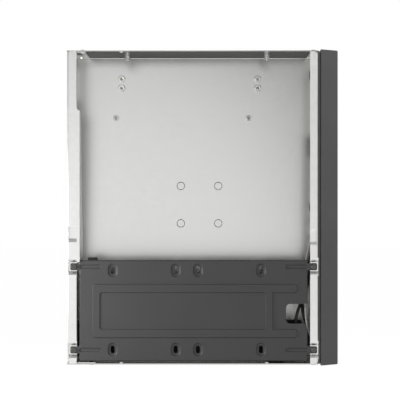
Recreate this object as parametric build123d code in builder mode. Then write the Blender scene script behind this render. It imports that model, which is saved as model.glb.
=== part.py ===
"""A slim micro ATX computer case with its cover off.

X runs from the rear panel to the front bezel, Y from the open near side to the fixed side wall, and Z up.
The origin is at the middle of the footprint, at table height. All sizes are in millimetres.
"""

from build123d import *
import os
from math import asin, atan2, cos, degrees, pi, radians, sin, tan

os.makedirs("parts", exist_ok=True)

# Steel chassis
sheet = 1.0
bend = 1.0
board_room = 244.5
chassis_height = 307.6
chassis_width = 94.0
rivet_head = 1.0
clearance = 0.3
hole_play = 0.05

# Front bezel
bezel_depth = 16.4
bezel_proud = 1.0
bezel_draw_in = 1.3
bezel_wall = 2.2
bezel_edge = 1.2
rim_depth = 1.4
rim_inset = 1.8
groove_width = 1.1
groove_inset = 3.3
rim_inner_inset = 5.0
ledge_depth = 1.5
guide_play = 2.0
guide_wall = 1.2
guide_depth = 6.0
boss_radius = 2.8
boss_bore = 1.1

# Rear panel
near_flange = 10.0
wide_flange = 13.2
wide_gap = 0.8
wide_high = 249.3
wide_rise = 1.6
lip_depth = 14.0
lip_deepest = 54.0
lip_rise = 3.0
lip_taper = ((36.0, 160.0), (18.0, 246.0), (7.6, 259.0), (7.0, 308.0))
top_flange = 18.2
bottom_flange = 28.0
rear_far_flange = 4.8
corner_relief = 4.0
tooling_dots = (261.9, 200.2, 169.9)

# Front panel
front_flange = 8.1
front_rivet_flange = 7.4
front_far_flange = 3.4
front_flange_dots = (200.2, 170.4, 46.6)
dot_skin = 0.4
rear_dot_radius = 0.9
rear_dot_inset = 4.8
front_dot_radius = 0.7
front_dot_inset = 3.0

# Screw pads pressed into the near flanges
pad_depth = 2.6
pad_slope = 3.2
pad_height = 15.8
pad_slit = 1.1
cover_pad_z = 128.8
pad_boss_radius = 1.8
pad_boss_height = 0.45
pad_boss_draw = 0.1
rear_screw_inset = 3.05
front_screw_inset = 3.7
rear_boss_inset = 3.5
front_pad_drop = 3.0

# Rivets of the end panels, as distances from the panel's face and from the open side
rivet_radius = 1.5
rivet_hole = rivet_radius + hole_play
rivet_collar = 1.2
rivet_tail_collar = 0.8
rear_top_rivets = ((15.2, 9.0), (10.7, 76.0))
rear_bottom_rivets = ((24.0, 9.0), (10.7, 76.0))
front_rivets = ((4.6, 9.0), (4.6, 79.0))

# Drive bracket
bracket_low = 4.3
bracket_height = 98.8
bracket_length = 223.8
bracket_gap = 2.2
bracket_depth = 12.0
ear_height = 7.0
ear_corner = 1.4
ear_length = 8.6
front_ear_length = 9.2
ear_root = 2.0
low_ear_z = 15.2
ear_margin = 8.65
ear_pitch = bracket_height - 2 * ear_margin
drive_pitch_x = 61.72
drive_margin = 10.6
drive_pitch_z = bracket_height - 2 * drive_margin
drive_rise = 0.7
drive_gap = 21.8
drives_middle_x = -15.1
drive_slot_width = 4.0
drive_slot_length = 7.6
dish_width = 9.8
dish_length = 13.7
dish_depth = 1.4
dish_slope = 45.0
bead_upright = 7.6
bead_level = 8.6
bead_depth = 1.0
bead_slope = 35.0
bead_corner = 3.4
bead_inner_corner = 2.0
bead_left = 12.9
bead_right = 9.8
bead_low = 22.7
bead_margin = 23.05
bead_height = bracket_height - 2 * bead_margin
bead_arm = 24.1
ear_bead_width = 4.2
ear_bead_length = 22.0
window_width = 21.1
window_low = 36.7
window_height = 19.3
window_slant = (2.3, 7.5)
window_corner = 4.0
tab_range = (7.8, 17.6)
tab_rise = 2.6
tab_corner = 1.5

# Screws of the bracket
screw_radius = 1.45
screw_head_radius = 2.6
screw_head_height = 1.6
screw_length = 6.0
cross_size = (3.0, 0.7)
cross_turn = 20
cross_depth = 0.9
screw_head_chamfer = 0.4

# Side wall fittings
standoff_radii = (3.4, 2.7)
standoff_height = 6.0
standoff_bore = 1.45
standoff_bore_depth = 4.4
standoff_bore_end = 0.65
standoff_shank = 2.1
standoff_pitch = 138.7
standoff_pitch_low = 135.5
standoff_step = 9.2
standoff_drops = (22.9, 62.7)
standoff_middle = (-12.75, -20.35)
wall_dimple_pitch = 38.2
wall_dimple_radius = 4.2
wall_dimple_depth = 0.7
wall_rivet_radius = 1.2
wall_rivet_rise = 0.6
wall_rivet_collar = 1.3
wall_rivet_head = 0.8
wall_middle = (-2.7, 157.6)
film_thickness = 0.4
film_range = ((-127.3, 101.3), (3.0, 40.0))

# Studs and bumps that hold the cover at the open side
stud_radius = 2.75
stud_length = 8.3
stud_chamfer = 0.4
stud_x = (-73.5, 63.5)
stud_set_back = 12.0
bump_size = (3.0, 4.0, 1.2)
bump_x = (-79.2, 63.2)

# Bottom vent
vent_radius = 2.5
vent_pitch = 6.88
vent_columns = 17
vent_rows = 5
vent_middle = (6.0, 7.2)

# Rear openings, for the board's ports, the power supply and the cards
port_opening = (44.45, 158.75)
port_low = 95.5
board_gap = 7.0
supply_side_room = 18.0
supply_opening = (chassis_width - supply_side_room, 34.0)
supply_y = 2.0
supply_holes = (70.0, 40.0)
supply_hole_radius = 1.9
supply_drop = 46.1
card_count = 4
card_pitch = 20.32
card_first = 17.7
card_side_room = 28.0
card_opening = (chassis_width - card_side_room, 12.6)
card_overlap = 2.6
card_screw_radius = 1.6
card_wall_gap = 6.0
card_screw_gap = 5.0
cover_tail = 8.0
cover_height = 18.4
cover_sheet = 0.8
cover_corner = 1.5
vent_count = 5
vent_bar = 3.0
vent_width = 3.0

# Front controls, on a small board behind the bezel
board_thickness = 1.6
board_stand_off = 1.8
board_size = (40.0, 98.0)
board_middle_z = 245.0
board_screw_pitch = (33.0, 90.0)
board_corner = 2.0
board_hole = 1.4
board_screw = (1.05, 6.0)
board_screw_head = (2.2, 1.5)
power_z = 283.0
lamp_z = 265.0
lamp_pitch = 10.0
usb_z = (248.0, 234.0)
jack_z = 218.0
jack_pitch = 17.0
reset_z = 203.0
power_radius = 8.0
reset_radius = 2.5
button_travel = 1.0
button_recess = 0.4
switch_height = 4.0
switch_floor = 0.8
plunger_seat = 2.2
pipe_radius = 1.5
usb_size = (13.1, 5.7)
usb_wall = 0.3
usb_back = 4.0
usb_tongue_rise = 0.9
usb_tongue_set_back = 1.2
socket_corner = 0.6
usb_tongue = (11.0, 1.8)
jack_radius = 3.0
jack_bore = 1.8
jack_body = (12.0, 8.0)
jack_collar = 1.0
jack_depth = 11.0

# Grille of the bezel and the inlet behind it
grille_low = 32.0
grille_pitch = 11.0
grille_slots = 13
grille_slot = (29.0, 4.2)
grille_columns = 35.0
inlet_slot = (24.0, 5.0)
inlet_columns = 2
inlet_rows = 8
inlet_pitch = (32.0, 17.0)

# Bezel hooks
hook_z = (48.0, 155.0, 290.0)
hook_width = 8.0
hook_thickness = 2.0
hook_reach = 3.3
hook_catch = 0.8
hook_room = (0.8, 1.2)

# Cables
usb_cable_diameter = 3.4
audio_cable_diameter = 2.9
lead_diameter = 1.4
plug_low = 208.0
plug_reach = 4.6
header_plug = (14.0, 13.0, 5.8)
lead_plug = (14.0, 5.2, 2.6)
plug_lift = 0.05

# Places worked out from the sizes above
overall_depth = sheet + board_room + sheet + rim_depth + groove_width + bezel_depth
rear_x = -overall_depth / 2
inner_rear_x = rear_x + sheet
inner_front_x = inner_rear_x + board_room
panel_x = inner_front_x + sheet
rim_x = panel_x + rim_depth
bezel_x = rim_x + groove_width
face_x = bezel_x + bezel_depth
face_inner_x = face_x - bezel_wall
near_y = -chassis_width / 2
far_y = chassis_width / 2
wall_y = far_y - sheet
floor_z = rivet_head
inner_floor_z = floor_z + sheet
top_z = floor_z + chassis_height
inner_top_z = top_z - sheet
bezel_half = chassis_width / 2 + bezel_proud
bezel_top = top_z + bezel_proud
bezel_taper = degrees(atan2(bezel_draw_in, bezel_depth))
lip_x = rear_x + near_flange
wide_lip_x = rear_x + wide_flange
flange_edge_x = panel_x - front_flange
pad_y = near_y + pad_depth
ear_y = pad_y - sheet
bracket_x = lip_x + bracket_gap
bracket_front_x = bracket_x + bracket_length
bracket_top = bracket_low + bracket_height
ear_rows = (low_ear_z, low_ear_z + ear_pitch)
wide_low = ear_rows[1] + ear_height / 2 + wide_gap
lip_edge = ((lip_depth, wide_low), (lip_deepest, wide_low + lip_rise), *lip_taper)
rear_screw_x = lip_x - rear_screw_inset
front_screw_x = flange_edge_x + front_screw_inset
standoff_rows = (top_z - standoff_drops[0], top_z - standoff_drops[1])
supply_low = top_z - supply_drop
board_rear_x = panel_x + board_stand_off
board_front_x = board_rear_x + board_thickness
port_y = wall_y - board_gap - port_opening[0] / 2
port_middle_z = port_low + port_opening[1] / 2


def across(y):
    """A plane facing the open side at depth y: its axes are X and Z, and an extrusion comes nearer."""
    return Plane.XZ.offset(-y)


def endwise(x):
    """A plane facing the front at length x: its axes are Y and Z, and an extrusion runs to the front."""
    return Plane.YZ.offset(x)


def patch(low_u, high_u, low_v, high_v, mode=Mode.ADD):
    """A rectangle between two corners, in the sketch that is open."""
    with Locations(((low_u + high_u) / 2, (low_v + high_v) / 2)):
        Rectangle(high_u - low_u, high_v - low_v, mode=mode)


def folded(*points, radius=bend + sheet / 2):
    """The section of a folded sheet, from the points along the middle of its thickness."""
    with BuildLine() as middle:
        FilletPolyline(*points, radius=radius)
    trace(middle.line, line_width=sheet)


def finish(piece, name):
    """Label a finished piece and write it."""
    piece.part.label = name
    export_step(piece.part, f"parts/{name}.step")


def pad_range(middle):
    """The lowest and highest point of a screw pad about its middle."""
    return middle - pad_height / 2, middle + pad_height / 2


def press_pad(low_x, high_x, middle):
    """Press a joggled pad into the near flange of the part that is open."""
    low_z, high_z = pad_range(middle)
    skin_y = near_y + sheet / 2
    with BuildSketch(across(pad_y)) as gap:
        patch(low_x, high_x, low_z, high_z)
    extrude(gap.sketch, amount=pad_depth + sheet, mode=Mode.SUBTRACT)
    with BuildSketch(endwise(low_x)) as pad:
        folded(
            (skin_y, low_z - sheet),
            (skin_y, low_z),
            (skin_y + pad_depth, low_z + pad_slope),
            (skin_y + pad_depth, high_z - pad_slope),
            (skin_y, high_z),
            (skin_y, high_z + sheet),
            radius=sheet,
        )
    extrude(pad.sketch, amount=high_x - low_x)


def drill_pad(x, middle):
    """Drill the screw hole of a pad."""
    with BuildSketch(across(pad_y + 2 * sheet)) as hole:
        with Locations((x, middle)):
            Circle(screw_radius + hole_play)
    extrude(hole.sketch, amount=3 * sheet, mode=Mode.SUBTRACT)


def press_boss(x, middle):
    """Press a small round boss out of a pad, half through the sheet, that the cover sits on."""
    with BuildSketch(across(pad_y)) as boss:
        with Locations((x, middle)):
            Circle(pad_boss_radius)
    extrude(boss.sketch, amount=pad_boss_height)
    with BuildSketch(across(pad_y + sheet)) as recess:
        with Locations((x, middle)):
            Circle(pad_boss_radius - pad_boss_draw)
    extrude(recess.sketch, amount=pad_boss_height, mode=Mode.SUBTRACT)


def rivet_places():
    """Centre and outward direction of each rivet that joins the shell to an end panel."""
    places = []
    for rear_rivets, z, up in ((rear_top_rivets, inner_top_z, 1), (rear_bottom_rivets, inner_floor_z, -1)):
        spots = [(rear_x + inward, near_y + deep) for inward, deep in rear_rivets]
        spots += [(panel_x - inward, near_y + deep) for inward, deep in front_rivets]
        places += [((x, y, z), (0, 0, up)) for x, y in spots]
    return places


def drill_rivets():
    """Drill the rivet holes that run through the part that is open."""
    for place, outward in rivet_places():
        with BuildSketch(Plane(origin=place, z_dir=outward)) as hole:
            Circle(rivet_hole)
        extrude(hole.sketch, amount=2 * sheet, both=True, mode=Mode.SUBTRACT)


# Shell: bottom wall, fixed side wall and top wall, folded from one sheet
standoff_places = [
    (standoff_middle[0] + side * standoff_pitch / 2, standoff_rows[0] - step)
    for side in (-1, 1)
    for step in (0, standoff_step)
]
standoff_places += [
    (standoff_middle[1] + side * standoff_pitch_low / 2, standoff_rows[1]) for side in (-1, 1)
]

with BuildPart() as chassis_shell:
    with BuildSketch(endwise(rear_x)):
        folded(
            (near_y, floor_z + sheet / 2),
            (far_y - sheet / 2, floor_z + sheet / 2),
            (far_y - sheet / 2, top_z - sheet / 2),
            (near_y, top_z - sheet / 2),
        )
    extrude(amount=panel_x - rear_x)
    # Dimples and rivet holes at the middle of the side wall
    with Locations(Plane.XZ.offset(-wall_y)):
        with Locations(wall_middle):
            with GridLocations(wall_dimple_pitch, wall_dimple_pitch, 2, 2):
                Cone(
                    wall_dimple_radius - wall_dimple_depth,
                    wall_dimple_radius,
                    wall_dimple_depth,
                    align=(Align.CENTER, Align.CENTER, Align.MAX),
                    mode=Mode.SUBTRACT,
                )
    with BuildSketch(across(far_y)):
        with Locations(wall_middle):
            with GridLocations(wall_dimple_pitch, wall_dimple_pitch, 2, 2):
                Circle(wall_rivet_radius + hole_play)
        with Locations(*standoff_places):
            Circle(standoff_shank + hole_play)
    extrude(amount=sheet, mode=Mode.SUBTRACT)
    # Bumps just inside the open edge, above and below, that centre the cover
    for x in bump_x:
        for z in (inner_floor_z, inner_top_z - bump_size[2]):
            with BuildSketch(across(near_y + sheet + bump_size[1])):
                patch(x - bump_size[0] / 2, x + bump_size[0] / 2, z, z + bump_size[2])
            extrude(amount=bump_size[1])
    # Holes for the cover studs
    with BuildSketch(Plane.XY.offset(inner_top_z)):
        with Locations(*[(x, near_y + stud_set_back) for x in stud_x]):
            Circle(standoff_shank + hole_play)
    extrude(amount=sheet, mode=Mode.SUBTRACT)
    drill_rivets()
    # Hexagonal vent in the bottom wall
    with BuildSketch(Plane.XY.offset(floor_z)):
        with Locations(vent_middle):
            with HexLocations(vent_pitch / 2, vent_columns, vent_rows, major_radius=False):
                RegularPolygon(vent_radius, 6)
    extrude(amount=sheet, mode=Mode.SUBTRACT)
finish(chassis_shell, "chassis_shell")

with BuildPart() as chassis_rivets:
    for place, outward in rivet_places():
        seat = Plane(origin=place, z_dir=outward)
        with BuildSketch(seat.offset(-sheet)):
            Circle(rivet_radius)
        extrude(amount=2 * sheet)
        with BuildSketch(seat.offset(sheet)):
            Circle(rivet_radius + rivet_collar)
        extrude(amount=rivet_head, taper=25)
        with BuildSketch(seat.offset(-sheet)):
            Circle(rivet_radius + rivet_tail_collar)
        extrude(amount=-rivet_head * 0.8, taper=25)
finish(chassis_rivets, "chassis_rivets")

with BuildPart() as wall_rivets:
    with BuildSketch(across(far_y)):
        with Locations(wall_middle):
            with GridLocations(wall_dimple_pitch, wall_dimple_pitch, 2, 2):
                Circle(wall_rivet_radius)
    extrude(amount=sheet + wall_rivet_rise)
    with BuildSketch(across(far_y)):
        with Locations(wall_middle):
            with GridLocations(wall_dimple_pitch, wall_dimple_pitch, 2, 2):
                Circle(wall_rivet_radius + wall_rivet_collar)
    extrude(amount=-wall_rivet_head, taper=30)
finish(wall_rivets, "wall_rivets")

with BuildPart() as supply_standoffs:
    with BuildSketch(across(far_y)):
        with Locations(*standoff_places):
            Circle(standoff_shank)
    extrude(amount=sheet)
    with BuildSketch(across(wall_y)):
        with Locations(*standoff_places[:4]):
            Circle(standoff_radii[0])
        with Locations(*standoff_places[4:]):
            Circle(standoff_radii[1])
    extrude(amount=standoff_height)
    chamfer(supply_standoffs.edges().group_by(Axis.Y)[0], 0.5)
    with BuildSketch(across(wall_y - standoff_height + standoff_bore_depth)):
        with Locations(*standoff_places):
            Circle(standoff_bore)
    extrude(amount=standoff_bore_depth, mode=Mode.SUBTRACT)
    with BuildSketch(across(wall_y - standoff_height + standoff_bore_depth)):
        with Locations(*standoff_places):
            Circle(standoff_bore)
    extrude(amount=-standoff_bore_end, taper=59, mode=Mode.SUBTRACT)
    mouths = supply_standoffs.edges().group_by(Axis.Y)[0].filter_by(GeomType.CIRCLE)
    chamfer(mouths.filter_by(lambda edge: edge.radius < standoff_bore + 0.1), 0.3)
finish(supply_standoffs, "supply_standoffs")

# Black film on the side wall, behind the lower edge of the boards
with BuildPart() as insulating_sheet:
    with BuildSketch(across(wall_y)) as film:
        patch(*film_range[0], *film_range[1])
        fillet(film.vertices(), 2.0)
    extrude(amount=film_thickness)
finish(insulating_sheet, "insulating_sheet")

with BuildPart() as cover_studs:
    with BuildSketch(Plane.XY.offset(inner_top_z - stud_length)):
        with Locations(*[(x, near_y + stud_set_back) for x in stud_x]):
            Circle(stud_radius)
    extrude(amount=stud_length)
    chamfer(cover_studs.edges().group_by(Axis.Z)[0], stud_chamfer)
    with BuildSketch(Plane.XY.offset(inner_top_z)):
        with Locations(*[(x, near_y + stud_set_back) for x in stud_x]):
            Circle(standoff_shank)
    extrude(amount=sheet)
finish(cover_studs, "cover_studs")

# Rear panel: web, flanges for the rivets, and a near flange with a lip folded inward
inner_wall_room = wall_y - card_wall_gap
card_rows = [card_first + index * card_pitch for index in range(card_count)]
card_y = inner_wall_room - card_opening[0] / 2
card_screw_y = card_y - card_opening[0] / 2 - card_screw_gap
supply_middle_z = supply_low + supply_holes[1] / 2
web_low = inner_floor_z + bend + sheet
web_high = inner_top_z - bend - sheet

with BuildPart() as rear_panel:
    with BuildSketch(Plane.XY.offset(web_low)):
        folded(
            (rear_x + 3 * sheet, near_y + sheet / 2),
            (rear_x + sheet / 2, near_y + sheet / 2),
            (rear_x + sheet / 2, wall_y - sheet / 2),
            (rear_x + rear_far_flange, wall_y - sheet / 2),
        )
    extrude(amount=web_high - web_low)
    # Top and bottom flanges, short of the corners
    with BuildSketch(across(wall_y - corner_relief)):
        folded(
            (rear_x + bottom_flange, inner_floor_z + sheet / 2),
            (rear_x + sheet / 2, inner_floor_z + sheet / 2),
            (rear_x + sheet / 2, web_low + sheet),
        )
        folded(
            (rear_x + top_flange, inner_top_z - sheet / 2),
            (rear_x + sheet / 2, inner_top_z - sheet / 2),
            (rear_x + sheet / 2, web_high - sheet),
        )
    extrude(amount=wall_y - near_y - 2 * corner_relief)
    # Near flange, wider along the ports
    with BuildSketch(across(near_y + sheet)):
        patch(rear_x + 2.5 * sheet, lip_x - sheet, inner_floor_z, inner_top_z)
        with BuildLine():
            Polyline(
                (lip_x - sheet, wide_low),
                (wide_lip_x - sheet, wide_low),
                (wide_lip_x - sheet, wide_high),
                (lip_x - sheet, wide_high + wide_rise),
                close=True,
            )
        make_face()
    extrude(amount=sheet)
    with BuildSketch(across(near_y + lip_deepest)):
        folded(
            (lip_x - sheet / 2, inner_floor_z),
            (lip_x - sheet / 2, wide_low + sheet / 2),
            (wide_lip_x - sheet / 2, wide_low + sheet / 2),
            (wide_lip_x - sheet / 2, wide_high),
            (lip_x - sheet / 2, wide_high + wide_rise),
            (lip_x - sheet / 2, inner_top_z),
            radius=1.5 * sheet,
        )
    extrude(amount=lip_deepest)
    # The lip is shallow beside the bracket, then tapers upward, and leaves room for the power supply
    with BuildSketch(endwise(lip_x - 2 * sheet)):
        with BuildLine():
            Polyline(
                (near_y + lip_depth, inner_floor_z - sheet),
                *[(near_y + depth, z) for depth, z in lip_edge],
                (near_y + lip_deepest + sheet, inner_top_z + sheet),
                (near_y + lip_deepest + sheet, inner_floor_z - sheet),
                close=True,
            )
        make_face()
    extrude(amount=wide_lip_x - lip_x + 3 * sheet, mode=Mode.SUBTRACT)
    # Round the fold between the near flange and its lip
    fold_edges = rear_panel.edges().filter_by_position(Axis.Y, near_y - 0.01, near_y + 0.01)
    fold_edges = fold_edges.filter_by_position(Axis.X, lip_x - 0.01, wide_lip_x + 0.01)
    fold_edges = fold_edges.filter_by_position(Axis.Z, inner_floor_z + 0.1, inner_top_z - 0.1)
    fillet(fold_edges, bend * 0.8)
    # Screw pads
    pad_rear_x = rear_x + sheet + pad_slit
    for middle in ear_rows:
        low_z, high_z = pad_range(middle)
        with BuildSketch(across(pad_y)):
            patch(lip_x - 1.5 * sheet, lip_x + sheet, low_z, min(high_z, wide_low))
        extrude(amount=pad_depth + sheet, mode=Mode.SUBTRACT)
        press_pad(pad_rear_x, lip_x, middle)
        drill_pad(rear_screw_x, middle)
    press_pad(pad_rear_x, lip_x - 0.2, cover_pad_z)
    press_boss(lip_x - rear_boss_inset, cover_pad_z)
    with BuildSketch(across(near_y + dot_skin)):
        with Locations(*[(rear_x + rear_dot_inset, z) for z in tooling_dots]):
            Circle(rear_dot_radius)
    extrude(amount=sheet, mode=Mode.SUBTRACT)
    # Slits beside the pads
    with BuildSketch(across(near_y + sheet)):
        for middle in (*ear_rows, cover_pad_z):
            low_z, high_z = pad_range(middle)
            patch(pad_rear_x - pad_slit, pad_rear_x, low_z, high_z)
    extrude(amount=2 * sheet, mode=Mode.SUBTRACT)
    # Openings in the web
    with BuildSketch(endwise(rear_x)):
        with Locations((port_y, port_middle_z)):
            Rectangle(*port_opening)
        with Locations((supply_y, supply_middle_z)):
            Rectangle(*supply_opening)
            with GridLocations(*supply_holes, 2, 2):
                Circle(supply_hole_radius)
        for z in card_rows:
            with Locations((card_y, z)):
                Rectangle(*card_opening)
            with Locations((card_screw_y, z)):
                Circle(card_screw_radius)
    extrude(amount=sheet, mode=Mode.SUBTRACT)
    drill_rivets()
finish(rear_panel, "rear_panel")

# Low-profile card slots: four vented covers on the outside of the web, each with one screw
card_cover = (card_opening[0] + 2 * card_overlap + cover_tail, cover_height)
vent_step = card_opening[0] / (vent_count + 1)
card_vent = (vent_step - vent_bar, vent_width)
for index, z in enumerate(card_rows):
    with BuildPart() as slot_cover:
        cover_high_y = card_y + card_opening[0] / 2 + card_overlap
        with BuildSketch(endwise(inner_rear_x)) as plate:
            patch(cover_high_y - card_cover[0], cover_high_y, z - card_cover[1] / 2, z + card_cover[1] / 2)
            fillet(plate.vertices(), cover_corner)
            with Locations((card_y, z)):
                with GridLocations(vent_step, 1, vent_count, 1):
                    SlotOverall(*card_vent, mode=Mode.SUBTRACT)
            with Locations((card_screw_y, z)):
                Circle(card_screw_radius + 0.2, mode=Mode.SUBTRACT)
        extrude(amount=cover_sheet)
        # A raised panel that fills the opening from inside
        with BuildSketch(endwise(inner_rear_x - cover_sheet)):
            with Locations((card_y, z)):
                Rectangle(card_opening[0] - 2 * clearance, card_opening[1] - 2 * clearance)
                with GridLocations(vent_step, 1, vent_count, 1):
                    SlotOverall(*card_vent, mode=Mode.SUBTRACT)
        extrude(amount=cover_sheet)
    finish(slot_cover, f"slot_cover_{index + 1}")

with BuildPart() as slot_cover_screws:
    for z in card_rows:
        seat = Plane(origin=(inner_rear_x + cover_sheet, card_screw_y, z), z_dir=(1, 0, 0))
        with BuildSketch(seat):
            Circle(screw_head_radius + 0.4)
        extrude(amount=screw_head_height)
        with BuildSketch(seat):
            Circle(card_screw_radius - hole_play)
        extrude(amount=-cover_sheet - sheet)
finish(slot_cover_screws, "slot_cover_screws")

# Front panel: web, rivet flanges and the near flange with its pads
hook_near_y = near_y + sheet + hook_room[0] + hook_thickness / 2
hook_far_y = wall_y - sheet - hook_room[1] - hook_thickness / 2
hook_rows = [(hook_near_y, 1), (hook_far_y, -1)]
plug_block = (24.0, 20.0)

with BuildPart() as front_panel:
    with BuildSketch(Plane.XY.offset(web_low)):
        folded(
            (flange_edge_x, near_y + sheet / 2),
            (panel_x - sheet / 2, near_y + sheet / 2),
            (panel_x - sheet / 2, wall_y - sheet / 2),
            (panel_x - front_far_flange, wall_y - sheet / 2),
            radius=1.1,
        )
    extrude(amount=web_high - web_low)
    with BuildSketch(across(near_y + sheet)) as flange:
        patch(flange_edge_x, panel_x - 1.6 * sheet, inner_floor_z, inner_top_z)
        chamfer(flange.vertices().group_by(Axis.Y)[-1].sort_by(Axis.X)[-1], 7.0, 1.6)
    extrude(amount=sheet)
    with BuildSketch(across(wall_y - corner_relief)):
        folded(
            (panel_x - front_rivet_flange, inner_floor_z + sheet / 2),
            (panel_x - sheet / 2, inner_floor_z + sheet / 2),
            (panel_x - sheet / 2, web_low + sheet),
        )
        folded(
            (panel_x - front_rivet_flange, inner_top_z - sheet / 2),
            (panel_x - sheet / 2, inner_top_z - sheet / 2),
            (panel_x - sheet / 2, web_high - sheet),
        )
    extrude(amount=wall_y - near_y - 2 * corner_relief)
    for middle in ear_rows:
        press_pad(flange_edge_x, panel_x, middle)
        drill_pad(front_screw_x, middle)
    press_pad(flange_edge_x, panel_x - 1.8 * sheet, cover_pad_z - front_pad_drop)
    press_boss(front_screw_x + 0.3, cover_pad_z - front_pad_drop)
    with BuildSketch(across(near_y + dot_skin)):
        with Locations(*[(panel_x - front_dot_inset, z) for z in front_flange_dots]):
            Circle(front_dot_radius)
    extrude(amount=sheet, mode=Mode.SUBTRACT)
    with BuildSketch(endwise(inner_front_x)):
        # Air inlet behind the grille
        with Locations((0, grille_low + grille_pitch * (grille_slots - 1) / 2)):
            with GridLocations(*inlet_pitch, inlet_columns, inlet_rows):
                SlotOverall(*inlet_slot)
        # Way in for the plugs of the front board
        patch(-plug_block[0] / 2 - 2, plug_block[0] / 2 + 2, plug_low - 4, plug_low + plug_block[1] + 3)
        # Slots for the bezel's hooks
        for y, side in hook_rows:
            for z in hook_z:
                with Locations((y + side * hook_catch / 2, z)):
                    Rectangle(hook_thickness + hook_catch + 2 * clearance, hook_width + 2 * clearance)
    extrude(amount=sheet, mode=Mode.SUBTRACT)
    drill_rivets()
finish(front_panel, "front_panel")

# Drive bracket: a shallow pressed tray that hangs on four ears across the open side
bracket_middle_z = bracket_low + bracket_height / 2
bracket_y = ear_y
bead_left_x = bracket_x + bead_left
bead_right_x = bracket_front_x - bead_right
bead_bottom = bracket_low + bead_low
bead_top = bead_bottom + bead_height
drive_step = drive_gap + drive_pitch_x
drive_middles = [drives_middle_x - drive_step / 2, drives_middle_x + drive_step / 2]
drive_holes = [
    (x + side * drive_pitch_x / 2, bracket_middle_z + drive_rise + level * drive_pitch_z / 2)
    for x in drive_middles
    for side in (-1, 1)
    for level in (-1, 1)
]
ear_ends = (
    (bracket_x - ear_length, bracket_x + ear_root),
    (bracket_front_x - ear_root, bracket_front_x + front_ear_length),
)


def other_side(slope):
    """How far a sloping wall's other side stands out where it meets the sheet's other face."""
    return sheet * (1 - sin(radians(slope))) / cos(radians(slope))


def bead_outline(grow):
    """The bead that frames the drive seats: a rounded ring with two arms that run on towards the front."""
    cross_x = bead_right_x - bead_arm
    with Locations(((bead_left_x + cross_x) / 2, (bead_bottom + bead_top) / 2)):
        RectangleRounded(
            cross_x - bead_left_x + 2 * grow,
            bead_top - bead_bottom + 2 * grow,
            bead_corner + grow,
        )
        RectangleRounded(
            cross_x - bead_left_x - 2 * bead_upright - 2 * grow,
            bead_top - bead_bottom - 2 * bead_level - 2 * grow,
            bead_inner_corner,
            mode=Mode.SUBTRACT,
        )
    arm_start = cross_x - bead_corner - 2
    for level in (bead_bottom + bead_level / 2, bead_top - bead_level / 2):
        with Locations(((arm_start + bead_right_x) / 2, level)):
            RectangleRounded(bead_right_x - arm_start + 2 * grow, bead_level + 2 * grow, bead_corner)


def ear_bead_outline(grow):
    """Short stiffening beads in line with the ears, that run out at the tray's ends."""
    for z in ear_rows:
        for x in (bracket_x + ear_bead_length / 2, bracket_front_x - ear_bead_length / 2):
            with Locations((x, z)):
                SlotOverall(ear_bead_length + 2 * grow, ear_bead_width + 2 * grow)


def dish_outline(grow):
    """The oval dishes that the drive screws' heads sit in."""
    with Locations(*drive_holes):
        SlotOverall(dish_length + 2 * grow, dish_width + 2 * grow, rotation=90)


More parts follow.
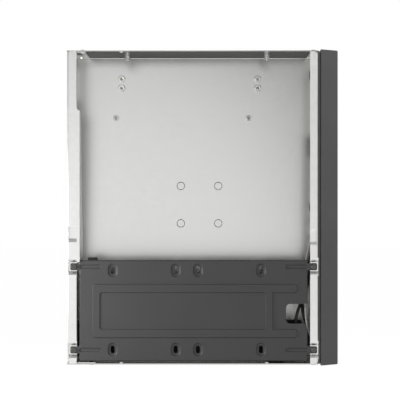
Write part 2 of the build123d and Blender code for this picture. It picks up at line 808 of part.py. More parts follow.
with BuildPart() as drive_bracket:
    # Tray
    with BuildSketch(across(bracket_y + bracket_depth)):
        patch(bracket_x, bracket_front_x, bracket_low, bracket_top)
    extrude(amount=bracket_depth)
    fillet(drive_bracket.faces().sort_by(Axis.Y)[0].edges(), bend + sheet * 0.4)
    offset(amount=-sheet, openings=drive_bracket.faces().sort_by(Axis.Y)[-1])
    # Ears
    with BuildSketch(across(bracket_y + sheet)):
        for low_x, high_x in ear_ends:
            for z in ear_rows:
                with Locations(((low_x + high_x) / 2, z)):
                    RectangleRounded(high_x - low_x, ear_height, ear_corner)
    extrude(amount=sheet)
    # Bead pressed out towards the open side, and its hollow behind
    with BuildSketch(across(bracket_y)):
        bead_outline(0)
    extrude(amount=bead_depth, taper=bead_slope)
    with BuildSketch(across(bracket_y + sheet)):
        bead_outline(-other_side(bead_slope))
    extrude(amount=bead_depth, taper=bead_slope, mode=Mode.SUBTRACT)
    # Dishes and ear beads pressed inwards: material behind, then the hollow in front
    with BuildSketch(across(bracket_y + sheet)):
        dish_outline(other_side(dish_slope))
    extrude(amount=-dish_depth, taper=dish_slope)
    with BuildSketch(across(bracket_y)):
        dish_outline(0)
    extrude(amount=-dish_depth, taper=dish_slope, mode=Mode.SUBTRACT)
    with BuildSketch(across(bracket_y + sheet)):
        ear_bead_outline(other_side(bead_slope))
    extrude(amount=-bead_depth, taper=bead_slope)
    with BuildSketch(across(bracket_y)):
        ear_bead_outline(0)
    extrude(amount=-bead_depth, taper=bead_slope, mode=Mode.SUBTRACT)
    with BuildSketch(across(bracket_y + 3 * sheet)):
        with Locations(*drive_holes):
            SlotOverall(drive_slot_length, drive_slot_width, rotation=90)
        with Locations(*[(x, z) for x in (rear_screw_x, front_screw_x) for z in ear_rows]):
            Circle(screw_radius + clearance)
    extrude(amount=3 * sheet, mode=Mode.SUBTRACT)
    # Corner cut away beside the wide part of the rear lip
    with BuildSketch(across(bracket_y + bracket_depth + 1)):
        patch(bracket_x - 1, wide_lip_x + clearance, wide_low - clearance, bracket_top + 1)
    extrude(amount=bracket_depth + 2, mode=Mode.SUBTRACT)
    # Cable window, open at the front edge
    window_x = bracket_front_x - window_width
    window_bottom = bracket_low + window_low
    with BuildSketch(across(bracket_y + bracket_depth + 1)) as window:
        with BuildLine():
            Polyline(
                (window_x, window_bottom),
                (bracket_front_x - window_slant[0], window_bottom),
                (bracket_front_x, window_bottom - window_slant[1]),
                (bracket_front_x + 1, window_bottom - window_slant[1]),
                (bracket_front_x + 1, window_bottom + window_height),
                (window_x, window_bottom + window_height),
                close=True,
            )
        make_face()
        fillet(window.vertices().group_by(Axis.X)[0], window_corner)
    extrude(amount=bracket_depth + 2, mode=Mode.SUBTRACT)
    # Locating tab that stands up behind the top fold
    with BuildSketch(across(bracket_y + bracket_depth)) as tab:
        tab_low_x, tab_high_x = bracket_x + tab_range[0], bracket_x + tab_range[1]
        patch(tab_low_x, tab_high_x, bracket_top - sheet, bracket_top + tab_rise)
        fillet(tab.vertices().group_by(Axis.Y)[-1], tab_corner)
    extrude(amount=sheet)
finish(drive_bracket, "drive_bracket")

with BuildPart() as bracket_screws:
    for x in (rear_screw_x, front_screw_x):
        for z in ear_rows:
            seat = Plane(origin=(x, ear_y, z), x_dir=(1, 0, 0), z_dir=(0, -1, 0))
            with BuildSketch(seat):
                Circle(screw_radius)
            extrude(amount=-screw_length)
            with BuildSketch(seat):
                Circle(screw_head_radius)
            extrude(amount=screw_head_height)
            with BuildSketch(seat.offset(screw_head_height)):
                Rectangle(*cross_size, rotation=cross_turn)
                Rectangle(*cross_size, rotation=cross_turn + 90)
            extrude(amount=-cross_depth, mode=Mode.SUBTRACT)
    head_rims = bracket_screws.edges().filter_by(GeomType.CIRCLE).group_by(Axis.Y)[0]
    chamfer(head_rims, screw_head_chamfer)
finish(bracket_screws, "bracket_screws")

# Front bezel: one moulding with a set-back rim, a grille, and hooks into the front panel
board_screws = [
    (side * board_screw_pitch[0] / 2, board_middle_z + level * board_screw_pitch[1] / 2)
    for side in (-1, 1)
    for level in (-1, 1)
]
guide_inner = power_radius + guide_play
guide_outer = guide_inner + guide_wall


def bezel_ring(inset_outer, inset_inner):
    """A rectangular ring inside the bezel's outline, between two insets."""
    patch(-bezel_half + inset_outer, bezel_half - inset_outer, inset_outer, bezel_top - inset_outer)
    patch(
        -bezel_half + inset_inner,
        bezel_half - inset_inner,
        inset_inner,
        bezel_top - inset_inner,
        mode=Mode.SUBTRACT,
    )


with BuildPart() as front_bezel:
    with BuildSketch(endwise(bezel_x)):
        patch(-bezel_half, bezel_half, 0, bezel_top)
    extrude(amount=bezel_depth, taper=bezel_taper)
    fillet(front_bezel.edges().filter_by_position(Axis.X, bezel_x + 0.5, face_x), bezel_edge)
    with BuildSketch(endwise(bezel_x)):
        patch(-bezel_half + bezel_wall, bezel_half - bezel_wall, bezel_wall, bezel_top - bezel_wall)
    extrude(amount=bezel_depth - bezel_wall, taper=bezel_taper, mode=Mode.SUBTRACT)
    # Rear ledge, groove and rim
    with BuildSketch(endwise(bezel_x)):
        bezel_ring(bezel_wall / 2, rim_inner_inset)
    extrude(amount=ledge_depth)
    with BuildSketch(endwise(rim_x)):
        bezel_ring(groove_inset, rim_inner_inset)
    extrude(amount=groove_width)
    with BuildSketch(endwise(panel_x)):
        bezel_ring(rim_inset, rim_inner_inset)
    extrude(amount=rim_depth)
    # Guide ring of the power button and the bosses for the board
    with BuildSketch(endwise(face_inner_x - guide_depth)):
        with Locations((0, power_z)):
            Circle(guide_outer)
            Circle(guide_inner, mode=Mode.SUBTRACT)
    extrude(amount=guide_depth)
    with BuildSketch(endwise(board_front_x)):
        with Locations(*board_screws):
            Circle(boss_radius)
            Circle(boss_bore, mode=Mode.SUBTRACT)
    extrude(amount=face_inner_x - board_front_x)
    # Hooks
    for y, side in hook_rows:
        for z in hook_z:
            with BuildSketch(Plane.XY.offset(z - hook_width / 2)):
                with BuildLine():
                    Polyline(
                        (panel_x + rim_depth + 2, y - side * hook_thickness / 2),
                        (inner_front_x - hook_reach, y - side * hook_thickness / 2),
                        (inner_front_x - hook_reach, y + side * (hook_thickness / 2 - 0.6)),
                        (inner_front_x - 0.9, y + side * (hook_thickness / 2 + hook_catch)),
                        (inner_front_x - clearance, y + side * (hook_thickness / 2 + hook_catch)),
                        (inner_front_x - clearance, y + side * hook_thickness / 2),
                        (panel_x + rim_depth + 2, y + side * hook_thickness / 2),
                        close=True,
                    )
                make_face()
            extrude(amount=hook_width)
    # Openings in the face
    with BuildSketch(endwise(face_inner_x)):
        with Locations((0, grille_low + grille_pitch * (grille_slots - 1) / 2)):
            with GridLocations(grille_columns, grille_pitch, 2, grille_slots):
                SlotOverall(*grille_slot)
        with Locations((0, power_z)):
            Circle(power_radius + clearance)
        with Locations((0, reset_z)):
            Circle(reset_radius + clearance)
        with Locations(*[(side * lamp_pitch / 2, lamp_z) for side in (-1, 1)]):
            Circle(pipe_radius + hole_play)
        with Locations(*[(0, z) for z in usb_z]):
            Rectangle(usb_size[0] + 0.4, usb_size[1] + 0.4)
        with Locations(*[(side * jack_pitch / 2, jack_z) for side in (-1, 1)]):
            Circle(jack_radius + 0.1)
    extrude(amount=bezel_wall, mode=Mode.SUBTRACT)
finish(front_bezel, "front_bezel")

# Front board with its switches, lamps and sockets
with BuildPart() as io_board:
    with BuildSketch(endwise(board_rear_x)) as board_outline:
        with Locations((0, board_middle_z)):
            Rectangle(*board_size)
        fillet(board_outline.vertices(), board_corner)
        with Locations(*board_screws):
            Circle(board_hole, mode=Mode.SUBTRACT)
    extrude(amount=board_thickness)
finish(io_board, "io_board")

with BuildPart() as io_board_screws:
    with BuildSketch(endwise(board_rear_x)):
        with Locations(*board_screws):
            Circle(board_screw_head[0])
    extrude(amount=-board_screw_head[1])
    with BuildSketch(endwise(board_rear_x)):
        with Locations(*board_screws):
            Circle(board_screw[0])
    extrude(amount=board_thickness + board_screw[1])
finish(io_board_screws, "io_board_screws")

plunger_end_x = board_front_x + switch_height + button_travel + clearance
plunger_start_x = board_front_x + plunger_seat


def make_switch(name, z, size, plunger_radius):
    """A push switch on the board and its plunger."""
    with BuildPart() as switch:
        with BuildSketch(endwise(board_front_x)) as body:
            with Locations((0, z)):
                Rectangle(size, size)
            fillet(body.vertices(), 0.6)
        extrude(amount=switch_height)
        with BuildSketch(endwise(board_front_x + switch_floor)):
            with Locations((0, z)):
                Circle(plunger_radius + clearance)
        extrude(amount=switch_height, mode=Mode.SUBTRACT)
    finish(switch, f"{name}_switch")
    with BuildPart() as plunger:
        with BuildSketch(endwise(plunger_start_x)):
            with Locations((0, z)):
                Circle(plunger_radius)
        extrude(amount=plunger_end_x - plunger_start_x)
    finish(plunger, f"{name}_plunger")


def make_button(name, z, radius, flange, stem, dish):
    """A push button: a dished cap, a flange behind the bezel's face and a stem to the switch."""
    cap_x = face_x - button_recess
    flange_x = face_inner_x - clearance
    rim = radius * 0.8
    ball = (rim**2 + dish**2) / (2 * dish)
    with BuildPart() as button:
        with BuildSketch(Plane.XZ):
            with BuildLine():
                Polyline(
                    (cap_x - dish, z),
                    (plunger_end_x, z),
                    (plunger_end_x, z + stem),
                    (flange_x - 3.4, z + stem),
                    (flange_x - 1.5, z + radius * 0.8),
                    (flange_x - 1.5, z + flange),
                    (flange_x, z + flange),
                    (flange_x, z + radius),
                    (cap_x - 0.4, z + radius),
                    (cap_x, z + radius - 0.4),
                    (cap_x, z + rim),
                )
                JernArc((cap_x - dish, z), (0, 1), ball, -degrees(asin(rim / ball)))
            make_face()
        revolve(axis=Axis((0, 0, z), (1, 0, 0)))
    finish(button, f"{name}_button")


make_switch("power", power_z, 6.0, 1.7)
make_switch("reset", reset_z, 5.0, 1.1)
make_button("power", power_z, power_radius, power_radius + 1.6, 2.5, 0.8)
make_button("reset", reset_z, reset_radius, reset_radius + 1.1, 1.4, 0.3)

lamp_height = 1.6
with BuildPart() as indicator_lamps:
    with BuildSketch(endwise(board_front_x)):
        with Locations(*[(side * lamp_pitch / 2, lamp_z) for side in (-1, 1)]):
            Circle(pipe_radius)
    extrude(amount=lamp_height)
finish(indicator_lamps, "indicator_lamps")

for name, side in (("power", -1), ("drive", 1)):
    with BuildPart() as light_pipe:
        with BuildSketch(endwise(board_front_x + lamp_height + 0.2)):
            with Locations((side * lamp_pitch / 2, lamp_z)):
                Circle(pipe_radius)
        extrude(amount=face_x - board_front_x - lamp_height - 0.2)
        fillet(light_pipe.edges().group_by(Axis.X)[-1], 0.6)
    finish(light_pipe, f"{name}_light_pipe")

socket_x = face_x - button_recess
for index, z in enumerate(usb_z):
    with BuildPart() as usb_socket:
        with BuildSketch(endwise(board_front_x)):
            with Locations((0, z)):
                RectangleRounded(*usb_size, socket_corner)
        extrude(amount=socket_x - board_front_x)
        with BuildSketch(endwise(board_front_x + usb_back)):
            with Locations((0, z)):
                Rectangle(usb_size[0] - 2 * usb_wall, usb_size[1] - 2 * usb_wall)
        extrude(amount=socket_x - board_front_x, mode=Mode.SUBTRACT)
    finish(usb_socket, f"usb_socket_{index + 1}")

with BuildPart() as usb_tongues:
    with BuildSketch(endwise(board_front_x + usb_back)):
        with Locations(*[(0, z + usb_tongue_rise) for z in usb_z]):
            Rectangle(*usb_tongue)
    extrude(amount=socket_x - board_front_x - usb_back - usb_tongue_set_back)
finish(usb_tongues, "usb_tongues")

for name, side in (("headphone", -1), ("microphone", 1)):
    with BuildPart() as jack:
        with BuildSketch(endwise(board_front_x)):
            with Locations((side * jack_pitch / 2, jack_z)):
                Rectangle(*jack_body)
        extrude(amount=face_inner_x - board_front_x - jack_collar)
        with BuildSketch(endwise(face_inner_x - jack_collar)):
            with Locations((side * jack_pitch / 2, jack_z)):
                Circle(jack_radius)
        extrude(amount=socket_x - face_inner_x + jack_collar)
        with BuildSketch(endwise(socket_x)):
            with Locations((side * jack_pitch / 2, jack_z)):
                Circle(jack_bore)
        extrude(amount=-jack_depth, mode=Mode.SUBTRACT)
    finish(jack, f"{name}_jack")

# Plugs where the three cables meet the board, side by side in the panel's opening
plug_front_x = board_rear_x
plug_rear_x = inner_front_x - plug_reach
plug_spans = ((-12.0, -4.4), (-4.0, 1.0), (1.4, 6.4))
with BuildPart() as board_plugs:
    with BuildSketch(endwise(plug_rear_x)):
        for low_y, high_y in plug_spans:
            patch(low_y, high_y, plug_low, plug_low + plug_block[1])
    extrude(amount=plug_front_x - plug_rear_x)
finish(board_plugs, "board_plugs")

# Cables: chosen points, and arcs as large as the runs between them allow
header_plug_z = inner_floor_z + plug_lift + header_plug[2] / 2
usb_end = (80.0, -26.1, header_plug_z)
audio_end = (78.0, -12.4, header_plug_z)
lead_end = (84.0, -2.9, inner_floor_z + plug_lift + lead_plug[2] / 2)
usb_route = [
    (110.4, -8.2, plug_low),
    (110.4, -8.2, 190.0),
    (110.2, -17.5, 166.0),
    (109.9, -27.0, 142.0),
    (109.4, -32.5, 120.0),
    (107.8, -31.5, 99.0),
    (104.0, -26.5, 79.0),
    (98.0, -31.0, 61.0),
    (100.0, -34.0, 47.5),
    (104.2, -31.0, 35.0),
    (104.8, -29.0, 22.5),
    (101.0, -28.0, 11.0),
    (91.5, -27.0, usb_end[2] - 0.4),
    usb_end,
]
audio_route = [
    (110.6, -1.5, plug_low),
    (110.6, -1.5, 190.0),
    (110.4, -12.0, 165.0),
    (109.8, -22.0, 140.0),
    (108.8, -27.0, 118.0),
    (105.0, -27.0, 98.0),
    (99.8, -28.5, 80.0),
    (97.8, -35.0, 62.5),
    (92.2, -38.5, 49.0),
    (92.0, -37.0, 36.0),
    (91.2, -32.8, 22.3),
    (93.2, -26.5, 14.7),
    (92.9, -18.5, 9.3),
    (86.2, -13.2, 5.3),
    audio_end,
]
lead_route = [
    (110.8, 3.9, plug_low),
    (110.8, 3.9, 190.0),
    (110.4, -6.5, 166.0),
    (110.2, -13.0, 143.0),
    (107.3, -22.5, 122.0),
    (102.0, -30.0, 103.5),
    (99.6, -34.6, 85.0),
    (100.5, -36.4, 66.0),
    (101.0, -38.6, 53.5),
    (102.2, -41.2, 41.0),
    (105.2, -40.6, 31.0),
    (108.6, -36.5, 21.5),
    (109.4, -27.5, 12.5),
    (105.0, -15.0, 5.2),
    (95.0, -5.0, lead_end[2] + 0.1),
    lead_end,
]


def corner_radii(points):
    """The arc for each corner of a route: 0.45 of its shorter run over the tangent of half the turn."""
    radii = []
    for before, here, after in zip(points, points[1:], points[2:]):
        arrive = Vector(*here) - Vector(*before)
        leave = Vector(*after) - Vector(*here)
        turn = radians(arrive.get_angle(leave))
        radii.append(0.45 * min(arrive.length, leave.length) / tan(turn / 2))
    return radii


def make_cable(name, points, diameter):
    """A plain round cable along straight runs joined by arcs."""
    radii = corner_radii(points)
    with BuildPart() as cable:
        with BuildLine() as route:
            FilletPolyline(*points, radius=radii)
        path = route.wire()
        with BuildSketch(Plane(origin=path @ 0, z_dir=path % 0)):
            Circle(diameter / 2)
        sweep(path=path)
    finish(cable, name)
    fill = cable.part.volume / (pi * diameter**2 / 4 * path.length)
    print(f"{name}: {path.length:.1f} long, tightest arc {min(radii):.1f}, fill {fill:.4f}")


def make_plug(name, end, size):
    """A plug lying on the bottom wall, with its front face at the loose end of a cable."""
    with BuildPart() as plug:
        with BuildSketch(endwise(end[0])):
            with Locations((end[1], end[2])):
                RectangleRounded(size[1], size[2], 0.5)
        extrude(amount=-size[0])
    finish(plug, name)


make_cable("usb_cable", usb_route, usb_cable_diameter)
make_cable("audio_cable", audio_route, audio_cable_diameter)
make_cable("power_lead", lead_route, lead_diameter)
make_plug("usb_cable_plug", usb_end, header_plug)
make_plug("audio_cable_plug", audio_end, header_plug)
make_plug("power_lead_plug", lead_end, lead_plug)
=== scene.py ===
"""Looks of a slim micro ATX computer case with its cover off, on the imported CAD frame."""

import math

import bpy
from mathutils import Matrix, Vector


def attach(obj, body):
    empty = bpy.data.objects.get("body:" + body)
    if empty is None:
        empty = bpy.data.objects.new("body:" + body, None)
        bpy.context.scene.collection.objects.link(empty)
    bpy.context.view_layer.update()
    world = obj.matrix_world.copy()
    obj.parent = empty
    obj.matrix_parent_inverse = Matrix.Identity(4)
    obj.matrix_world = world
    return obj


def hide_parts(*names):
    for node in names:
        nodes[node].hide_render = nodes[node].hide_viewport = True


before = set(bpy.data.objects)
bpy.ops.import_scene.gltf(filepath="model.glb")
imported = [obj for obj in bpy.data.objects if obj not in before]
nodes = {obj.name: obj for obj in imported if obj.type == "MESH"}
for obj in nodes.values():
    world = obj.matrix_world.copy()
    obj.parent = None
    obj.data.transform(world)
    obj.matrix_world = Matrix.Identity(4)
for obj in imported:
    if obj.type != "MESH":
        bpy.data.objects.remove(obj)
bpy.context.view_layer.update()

mm = 0.001

# Grain sizes of the finishes
spangle_size = 5 * mm
streak_size = 0.6 * mm
steel_cloud_size = 38 * mm
coat_grain = 0.35 * mm
coat_relief = 0.035 * mm
abs_grain = 0.5 * mm
abs_relief = 0.03 * mm
coat_cloud_size = 45 * mm
scuff_size = 0.5 * mm
flow_size = 1.2 * mm
fine_relief = 0.01 * mm
copper_pitch = 6 * mm
copper_relief = 0.03 * mm

# Cables, with the heights at which their plugs lie on the bottom wall, in millimetres
usb_cable_diameter = 3.4
audio_cable_diameter = 2.9
lead_diameter = 1.4
header_plug_z = 4.95
lead_plug_z = 3.35
cable_sides = 5
cable_steps = 14

# Studio, in metres, with radiances where 1 is white
floor_reach = 6.0
floor_cloud_size = 0.4
floor_glow = 1.07
floor_shadow_share = 0.1
room_light = 0.22
room_dim = 0.3
room_fade = (-0.3, 0.1)
front_light = ((-0.25, -2.6, 0.1), (-0.25, 0, 0.1), 1.1, 0.93)
left_light = ((-0.3, -0.14, 0.12), (-0.1, -0.045, 0.06), 0.1, 27)
upper_light = ((0.42, -0.6, 0.62), (0.1, 0, 0.2), 0.24, 12)

# Camera, level and square to the open side
camera_place = (-0.0002, -2.146, 0.15486)
camera_lens = 193.05
camera_sensor = 36
camera_shift = (-0.005, 0.0184)


# Colours and node helpers

def linear(code):
    """An sRGB hex colour as linear RGBA."""
    parts = [int(code[i:i + 2], 16) / 255 for i in (1, 3, 5)]
    return tuple(c / 12.92 if c <= 0.04045 else ((c + 0.055) / 1.055) ** 2.4 for c in parts) + (1.0,)


def add(tree, kind, inputs=None, **settings):
    """Adds a node. Its settings are set, and each input gets a value or a link from another node's output."""
    node = tree.nodes.new(kind)
    for name, value in settings.items():
        setattr(node, name, value)
    for socket, value in (inputs or {}).items():
        if isinstance(value, bpy.types.NodeSocket):
            tree.links.new(value, node.inputs[socket])
        else:
            node.inputs[socket].default_value = value
    return node


def new_material(name):
    """An empty node material, with its object coordinates and its output."""
    material = bpy.data.materials.new(name)
    material.use_nodes = True
    tree = material.node_tree
    tree.nodes.clear()
    coords = add(tree, "ShaderNodeTexCoord").outputs["Object"]
    output = add(tree, "ShaderNodeOutputMaterial")
    return material, tree, coords, output


def ramp(tree, factor, stops):
    """A colour ramp between two (place, hex colour) stops."""
    node = add(tree, "ShaderNodeValToRGB", {"Fac": factor})
    for element, (place, code) in zip(node.color_ramp.elements, stops):
        element.position = place
        element.color = linear(code)
    return node.outputs["Color"]


def spread(tree, factor, low, high):
    """Maps 0 to 1 onto low to high."""
    return add(tree, "ShaderNodeMapRange", {"Value": factor, "To Min": low, "To Max": high}).outputs["Result"]


def fade(tree, value, start, end):
    """Rises from 0 to 1 as a value goes from start to end, and stays there beyond them."""
    return add(tree, "ShaderNodeMapRange", {
        "Value": value, "From Min": start, "From Max": end,
    }).outputs["Result"]


def blend(tree, factor, first, second):
    """A number between two others."""
    return add(tree, "ShaderNodeMix", {"Factor": factor, "A": first, "B": second}).outputs["Result"]


def stretched(tree, coords, scale):
    """The coordinates stretched by a scale for each axis."""
    return add(tree, "ShaderNodeMapping", {"Vector": coords, "Scale": scale}).outputs["Vector"]


def noise(tree, coords, size, detail):
    """Noise whose features are about size metres across."""
    return add(tree, "ShaderNodeTexNoise", {
        "Vector": coords, "Scale": 1 / size, "Detail": detail, "Roughness": 0.55,
    }).outputs["Fac"]


def bump(tree, height, distance, strength):
    """A bump of distance metres."""
    return add(tree, "ShaderNodeBump", {
        "Height": height, "Distance": distance, "Strength": strength,
    }).outputs["Normal"]


def seen_itself(tree):
    """1 for a camera, transmission or glossy ray, and 0 for a ray that only lights other surfaces."""
    path = add(tree, "ShaderNodeLightPath").outputs
    straight = add(tree, "ShaderNodeMath", {
        0: path["Is Camera Ray"], 1: path["Is Transmission Ray"],
    }, operation="MAXIMUM")
    return add(tree, "ShaderNodeMath", {
        0: straight.outputs["Value"], 1: path["Is Glossy Ray"],
    }, operation="MAXIMUM").outputs["Value"]


# Materials

def galvanised_steel(name, light, dark, streak_axis, roughness=(0.19, 0.23), downward_shade=None):
    """Hot-dip galvanised sheet, bare: satin, with faint spangle and rolling streaks along one axis.

    Where a downward shade colour is given, the faces that look down take it as painted shade, and level faces
    are duller.
    """
    material, tree, coords, output = new_material(name)
    spangle = add(tree, "ShaderNodeTexVoronoi", {"Vector": coords, "Scale": 1 / spangle_size}, feature="F1")
    grey = add(tree, "ShaderNodeRGBToBW", {"Color": spangle.outputs["Color"]}).outputs["Val"]
    stretch = [1.0, 1.0, 1.0]
    stretch[streak_axis] = 0.03
    streaks = noise(tree, stretched(tree, coords, stretch), streak_size, 3.0)
    clouds = noise(tree, coords, steel_cloud_size, 3.0)
    mix = blend(tree, 0.45, blend(tree, 0.35, grey, streaks), clouds)
    colour = ramp(tree, mix, [(0.2, dark), (0.8, light)])
    rough = spread(tree, mix, *roughness)
    if downward_shade:
        facing = add(tree, "ShaderNodeTexCoord").outputs["Normal"]
        upward = add(tree, "ShaderNodeSeparateXYZ", {"Vector": facing}).outputs["Z"]
        level = add(tree, "ShaderNodeMath", {0: upward}, operation="ABSOLUTE").outputs["Value"]
        dull = fade(tree, level, 0.5, 0.9)
        # The faces that look down take a darker colour: painted shade, standing for the underside of the top
        # wall that the light doesn't reach.
        painted_shade_mask = fade(tree, upward, -0.5, -0.9)
        colour = add(tree, "ShaderNodeMix", {
            0: painted_shade_mask, 6: colour, 7: linear(downward_shade),
        }, data_type="RGBA").outputs[2]
        rough = add(tree, "ShaderNodeMath", {
            0: dull, 1: 0.45, 2: rough,
        }, operation="MULTIPLY_ADD").outputs["Value"]
    shader = add(tree, "ShaderNodeBsdfPrincipled", {
        "Base Color": colour, "Metallic": 1.0, "Roughness": rough,
        "Normal": bump(tree, streaks, fine_relief, 0.1),
    })
    tree.links.new(shader.outputs["BSDF"], output.inputs["Surface"])
    return material


def fine_texture(name, light, dark, roughness, grain, relief):
    """A powder coat or a spark-eroded moulding: matt, with small grains and a little colour variation."""
    material, tree, coords, output = new_material(name)
    grains = noise(tree, coords, grain, 2.0)
    clouds = noise(tree, coords, coat_cloud_size, 2.0)
    colour = ramp(tree, blend(tree, 0.5, grains, clouds), [(0.3, dark), (0.7, light)])
    shader = add(tree, "ShaderNodeBsdfPrincipled", {
        "Base Color": colour, "Roughness": spread(tree, grains, *roughness), "IOR": 1.5,
        "Normal": bump(tree, grains, relief, 0.6),
    })
    tree.links.new(shader.outputs["BSDF"], output.inputs["Surface"])
    return material


def plated_steel(name, light, dark, roughness=(0.18, 0.34)):
    """Zinc or tin plating on turned or stamped steel: bright, with fine scuffs."""
    material, tree, coords, output = new_material(name)
    scuffs = noise(tree, stretched(tree, coords, (1.0, 1.0, 0.25)), scuff_size, 4.0)
    shader = add(tree, "ShaderNodeBsdfPrincipled", {
        "Base Color": ramp(tree, scuffs, [(0.3, dark), (0.7, light)]), "Metallic": 1.0,
        "Roughness": spread(tree, scuffs, *roughness), "Normal": bump(tree, scuffs, fine_relief, 0.3),
    })
    tree.links.new(shader.outputs["BSDF"], output.inputs["Surface"])
    return material


def smooth_plastic(name, code, roughness, transmission=0.0):
    """A moulded or extruded plastic: smooth, with faint flow marks a little darker than its colour."""
    material, tree, coords, output = new_material(name)
    flow = noise(tree, coords, flow_size, 3.0)
    channels = [int(code[i:i + 2], 16) for i in (1, 3, 5)]
    darker = "#" + "".join(f"{int(channel * 0.88):02x}" for channel in channels)
    shader = add(tree, "ShaderNodeBsdfPrincipled", {
        "Base Color": ramp(tree, flow, [(0.3, darker), (0.7, code)]),
        "Roughness": spread(tree, flow, roughness - 0.06, roughness + 0.06),
        "Normal": bump(tree, flow, fine_relief, 0.3), "IOR": 1.5, "Transmission Weight": transmission,
    })
    tree.links.new(shader.outputs["BSDF"], output.inputs["Surface"])
    return material


def circuit_board(name):
    """Green solder mask over copper: half glossy, with the copper runs showing through."""
    material, tree, coords, output = new_material(name)
    runs = add(tree, "ShaderNodeTexBrick", {
        "Vector": coords, "Scale": 1 / copper_pitch, "Mortar Size": 0.03,
        "Color1": linear("#1c5a34"), "Color2": linear("#1f6339"), "Mortar": linear("#2e7a4a"),
    })
    shader = add(tree, "ShaderNodeBsdfPrincipled", {
        "Base Color": runs.outputs["Color"], "Roughness": 0.3, "IOR": 1.5,
        "Normal": bump(tree, runs.outputs["Fac"], copper_relief, 0.4),
    })
    tree.links.new(shader.outputs["BSDF"], output.inputs["Surface"])
    return material


black_jacket = smooth_plastic("black_pvc_jacket", "#161616", 0.5)
white_jacket = smooth_plastic("white_pvc_jacket", "#ecebe8", 0.4)
# The faces of the wall that look down take #626262: painted shade on the underside of the top wall.
wall_steel = galvanised_steel("galvanised_steel_wall", "#cdcdcb", "#c7c7c5", 2, downward_shade="#626262")
# The panels' steel is given a lighter colour than the wall's: partly a lighter sheet, partly painted light on
# the flanges out in the open and painted shade on the wall deep inside the box.
panel_steel = galvanised_steel("galvanised_steel_panel", "#f2f2f0", "#e8e8e6", 2, (0.3, 0.36))
cover_steel = galvanised_steel("galvanised_steel_slot_cover", "#c9c9c7", "#c1c1bf", 1)
coated_steel = fine_texture(
    "dark_powder_coated_steel", "#494949", "#434343", (0.42, 0.55), coat_grain, coat_relief
)
bezel_plastic = fine_texture("dark_textured_abs", "#606060", "#555555", (0.46, 0.6), abs_grain, abs_relief)

finishes = {
    wall_steel: ["chassis_shell"],
    panel_steel: ["rear_panel", "front_panel"],
    cover_steel: ["slot_cover_1", "slot_cover_2", "slot_cover_3", "slot_cover_4"],
    coated_steel: ["drive_bracket"],
    bezel_plastic: ["front_bezel", "power_button", "reset_button"],
    plated_steel("zinc_plated_steel", "#e4e4e0", "#c0c0bc"): [
        "chassis_rivets", "wall_rivets", "cover_studs", "slot_cover_screws",
    ],
    plated_steel("zinc_plated_standoff_steel", "#e0e0dc", "#ccccc8", (0.14, 0.2)): ["supply_standoffs"],
    plated_steel("black_plated_steel", "#6e6e6c", "#5a5a58", (0.3, 0.45)): [
        "bracket_screws", "io_board_screws",
    ],
    plated_steel("tin_plated_steel", "#dddddd", "#bbbbbb", (0.15, 0.3)): ["usb_socket_1", "usb_socket_2"],
    smooth_plastic("black_nylon", "#1c1c1c", 0.45): [
        "power_switch", "reset_switch", "power_plunger", "reset_plunger", "headphone_jack", "microphone_jack",
        "board_plugs", "usb_cable_plug", "audio_cable_plug", "usb_tongues", "insulating_sheet",
    ],
    smooth_plastic("clear_acrylic", "#eef2f4", 0.12, 0.9): [
        "power_light_pipe", "drive_light_pipe", "indicator_lamps",
    ],
    white_jacket: ["power_lead_plug"],
    circuit_board("green_solder_mask"): ["io_board"],
}
for material, names in finishes.items():
    for name in names:
        for slot in nodes[name].material_slots:
            slot.material = material


# Cables, along the points of the CAD routes

routes = {
    "usb_cable": (usb_cable_diameter, black_jacket, "cable_jacket", "usb_cable_plug", [
        (110.4, -8.2, 208), (110.4, -8.2, 190), (110.2, -17.5, 166), (109.9, -27, 142), (109.4, -32.5, 120),
        (107.8, -31.5, 99), (104, -26.5, 79), (98, -31, 61), (100, -34, 47.5), (104.2, -31, 35),
        (104.8, -29, 22.5), (101, -28, 11), (91.5, -27, header_plug_z - 0.4), (80, -26.1, header_plug_z),
    ]),
    "audio_cable": (audio_cable_diameter, black_jacket, "cable_jacket", "audio_cable_plug", [
        (110.6, -1.5, 208), (110.6, -1.5, 190), (110.4, -12, 165), (109.8, -22, 140), (108.8, -27, 118),
        (105, -27, 98), (99.8, -28.5, 80), (97.8, -35, 62.5), (92.2, -38.5, 49), (92, -37, 36),
        (91.2, -32.8, 22.3), (93.2, -26.5, 14.7), (92.9, -18.5, 9.3), (86.2, -13.2, 5.3),
        (78, -12.4, header_plug_z),
    ]),
    "power_lead": (lead_diameter, white_jacket, "lead_jacket", "power_lead_plug", [
        (110.8, 3.9, 208), (110.8, 3.9, 190), (110.4, -6.5, 166), (110.2, -13, 143), (107.3, -22.5, 122),
        (102, -30, 103.5), (99.6, -34.6, 85), (100.5, -36.4, 66), (101, -38.6, 53.5), (102.2, -41.2, 41),
        (105.2, -40.6, 31), (108.6, -36.5, 21.5), (109.4, -27.5, 12.5), (105, -15, 5.2),
        (95, -5, lead_plug_z + 0.1), (84, -2.9, lead_plug_z),
    ]),
}


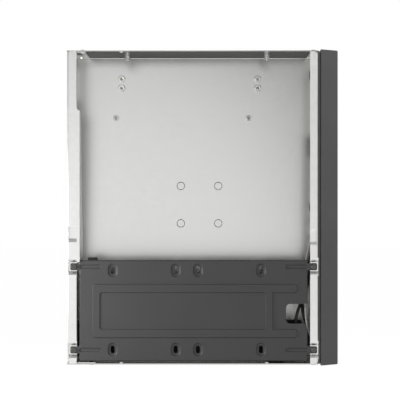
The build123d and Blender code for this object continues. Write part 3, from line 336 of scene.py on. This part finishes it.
def make_tube(name, points, diameter, material):
    """The mesh of a round cable along a smooth line near some points, and the points of that line."""
    curve = bpy.data.curves.new(name, "CURVE")
    curve.dimensions = "3D"
    curve.bevel_resolution = cable_sides
    curve.resolution_u = cable_steps
    curve.use_fill_caps = True
    curve.materials.append(material)
    spline = curve.splines.new("NURBS")
    spline.points.add(len(points) - 1)
    for point, place in zip(spline.points, points):
        point.co = (*(c * mm for c in place), 1.0)
    spline.order_u = 3
    spline.use_endpoint_u = True
    route = bpy.data.objects.new(name, curve)
    middle = bpy.data.meshes.new_from_object(route)
    line = [vertex.co.copy() for vertex in middle.vertices]
    bpy.data.meshes.remove(middle)
    curve.bevel_depth = diameter / 2 * mm
    tube = bpy.data.meshes.new_from_object(route)
    tube.shade_smooth()
    bpy.data.objects.remove(route)
    return tube, line


for name, (diameter, material, slot, plug, points) in routes.items():
    tube, line = make_tube(name + "_route", points, diameter, material)
    cable = bpy.data.objects.new(name + "_jacket", tube)
    bpy.context.scene.collection.objects.link(cable)
    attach(cable, "chassis")
    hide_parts(name)


# Floor: pale and matt, seen as white, with the object's shadow kept

corners = [(-1, -1), (1, -1), (1, 1), (-1, 1)]
floor_mesh = bpy.data.meshes.new("floor")
floor_mesh.from_pydata([(x * floor_reach, y * floor_reach, 0) for x, y in corners], [], [(0, 1, 2, 3)])
floor = bpy.data.objects.new("floor", floor_mesh)
bpy.context.scene.collection.objects.link(floor)
floor_material, tree, coords, output = new_material("pale_floor")
pale = ramp(tree, noise(tree, coords, floor_cloud_size, 4.0), [(0.2, "#f0f0ef"), (0.8, "#f4f4f3")])
matt = add(tree, "ShaderNodeBsdfPrincipled", {"Base Color": pale, "Roughness": 0.7})
glow = add(tree, "ShaderNodeEmission", {"Color": linear("#ffffff"), "Strength": floor_glow})
white_share = add(tree, "ShaderNodeMath", {
    0: seen_itself(tree), 1: 1 - floor_shadow_share,
}, operation="MULTIPLY").outputs["Value"]
surface = add(tree, "ShaderNodeMixShader", {
    0: white_share, 1: matt.outputs["BSDF"], 2: glow.outputs["Emission"],
})
tree.links.new(surface.outputs["Shader"], output.inputs["Surface"])
floor_mesh.materials.append(floor_material)


# World: a weak even light, a white backdrop behind the object and a dimmer room before it

world = bpy.data.worlds.new("studio")
bpy.context.scene.world = world
world.use_nodes = True
tree = world.node_tree
tree.nodes.clear()
toward = add(tree, "ShaderNodeSeparateXYZ", {"Vector": add(tree, "ShaderNodeTexCoord").outputs["Generated"]})
backdrop_level = add(tree, "ShaderNodeMapRange", {
    "Value": toward.outputs["Y"], "From Min": room_fade[0], "From Max": room_fade[1],
    "To Min": room_dim, "To Max": 1.0,
}).outputs["Result"]
room = add(tree, "ShaderNodeBackground", {"Color": linear("#ffffff"), "Strength": room_light})
backdrop = add(tree, "ShaderNodeBackground", {"Color": linear("#ffffff"), "Strength": backdrop_level})
mixed = add(tree, "ShaderNodeMixShader", {
    0: seen_itself(tree), 1: room.outputs["Background"], 2: backdrop.outputs["Background"],
})
add(tree, "ShaderNodeOutputWorld", {"Surface": mixed.outputs["Shader"]})


# Lights and camera

def softbox(name, place, target, width, radiance):
    """A round area light at a place, turned to a target, with the radiance of its face."""
    data = bpy.data.lights.new(name, "AREA")
    data.shape = "ELLIPSE"
    data.size = width
    data.size_y = width
    data.energy = radiance * math.pi * math.pi / 4 * width ** 2
    lamp = bpy.data.objects.new(name, data)
    lamp.location = place
    lamp.rotation_euler = (Vector(target) - Vector(place)).to_track_quat("-Z", "Y").to_euler()
    bpy.context.scene.collection.objects.link(lamp)


softbox("front_light", *front_light)
softbox("left_light", *left_light)
softbox("upper_light", *upper_light)

camera_data = bpy.data.cameras.new("camera")
camera_data.lens = camera_lens
camera_data.sensor_width = camera_sensor
camera_data.shift_x, camera_data.shift_y = camera_shift
camera = bpy.data.objects.new("camera", camera_data)
camera.location = camera_place
camera.rotation_euler = (math.radians(90), 0, 0)
bpy.context.scene.collection.objects.link(camera)
bpy.context.scene.camera = camera
bpy.context.scene.view_settings.view_transform = "Standard"

bpy.context.view_layer.update()
